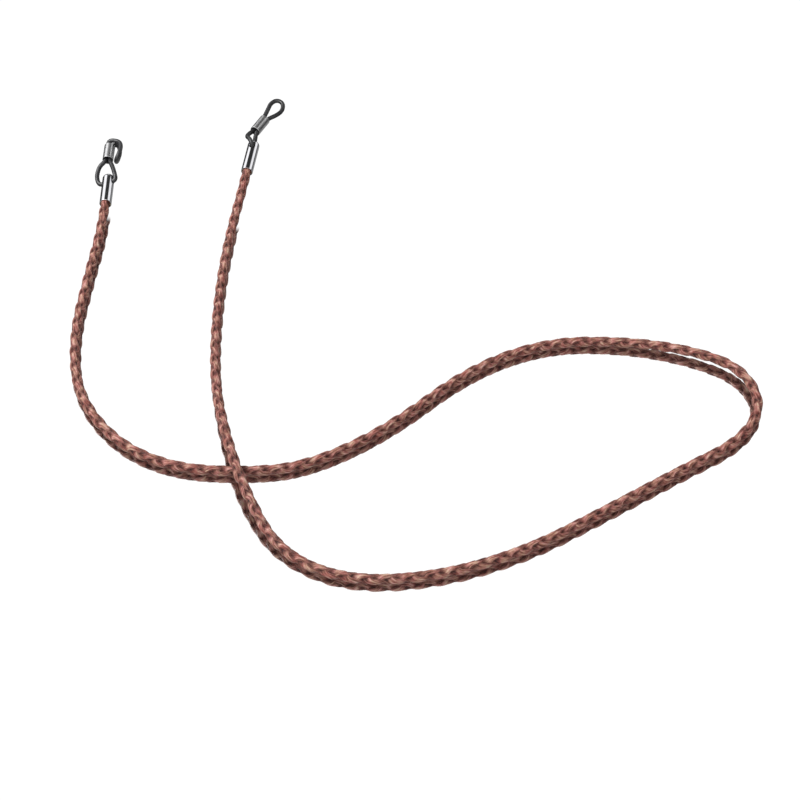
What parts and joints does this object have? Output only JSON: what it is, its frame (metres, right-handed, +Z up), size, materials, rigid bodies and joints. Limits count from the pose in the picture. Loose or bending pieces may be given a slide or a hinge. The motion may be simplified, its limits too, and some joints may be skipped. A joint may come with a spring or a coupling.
{
  "type": "eyeglass retainer strap",
  "caption": "Braided cord with a metal cap, a rubber loop and a sliding metal barrel on each end, worn round the neck to hold spectacles by their temple arms.",
  "frame": {"origin": "on the surface that the strap lies on, in the middle of the two clasps' outline seen from above", "axes": "+X from the left clasp to the right clasp, +Y away from the cord's big loop, the way the clasps point, +Z up from the surface"},
  "size_m": [0.2265, 0.218, 0.0078],
  "materials": {
    "cord": "braided thread, slight sheen",
    "cap_metal": "polished gunmetal plating",
    "barrel_metal": "polished gunmetal plating",
    "rubber": "smooth satin",
    "wrap_thread": "wound thread",
    "glue": "set adhesive"
  },
  "bodies": {
    "strap": {"braided_cord": "cord", "left_end_cap": "cap_metal", "left_end_wrap": "wrap_thread", "left_glue_plug": "glue", "right_end_cap": "cap_metal", "right_end_wrap": "wrap_thread", "right_glue_plug": "glue"},
    "left_loop": {"left_rubber_loop": "rubber"},
    "left_slider": {"left_slider_barrel": "barrel_metal"},
    "right_loop": {"right_rubber_loop": "rubber"},
    "right_slider": {"right_slider_barrel": "barrel_metal"}
  },
  "joints": [
    {"name": "left_loop_swivel", "type": "hinge", "parent": "strap", "child": "left_loop", "pos_m": [-0.02843, -0.0159, 0.00215], "axis": [0.9271, 0.014, 0.3746], "range_deg": [-80, 100]},
    {"name": "left_slider_slide", "type": "slide", "parent": "left_loop", "child": "left_slider", "axis": [0, 1, 0], "range_m": [-0.001, 0.004], "deforming": ["left_rubber_loop"]},
    {"name": "right_loop_swivel", "type": "hinge", "parent": "strap", "child": "right_loop", "pos_m": [0.02256, -0.00003, 0.00382], "axis": [-0.0129, -0.0887, 0.996], "range_deg": [-70, 100]},
    {"name": "right_slider_slide", "type": "slide", "parent": "right_loop", "child": "right_slider", "axis": [0.4478, 0.8942, 0], "range_m": [0, 0.005], "deforming": ["right_rubber_loop"]}
  ]
}
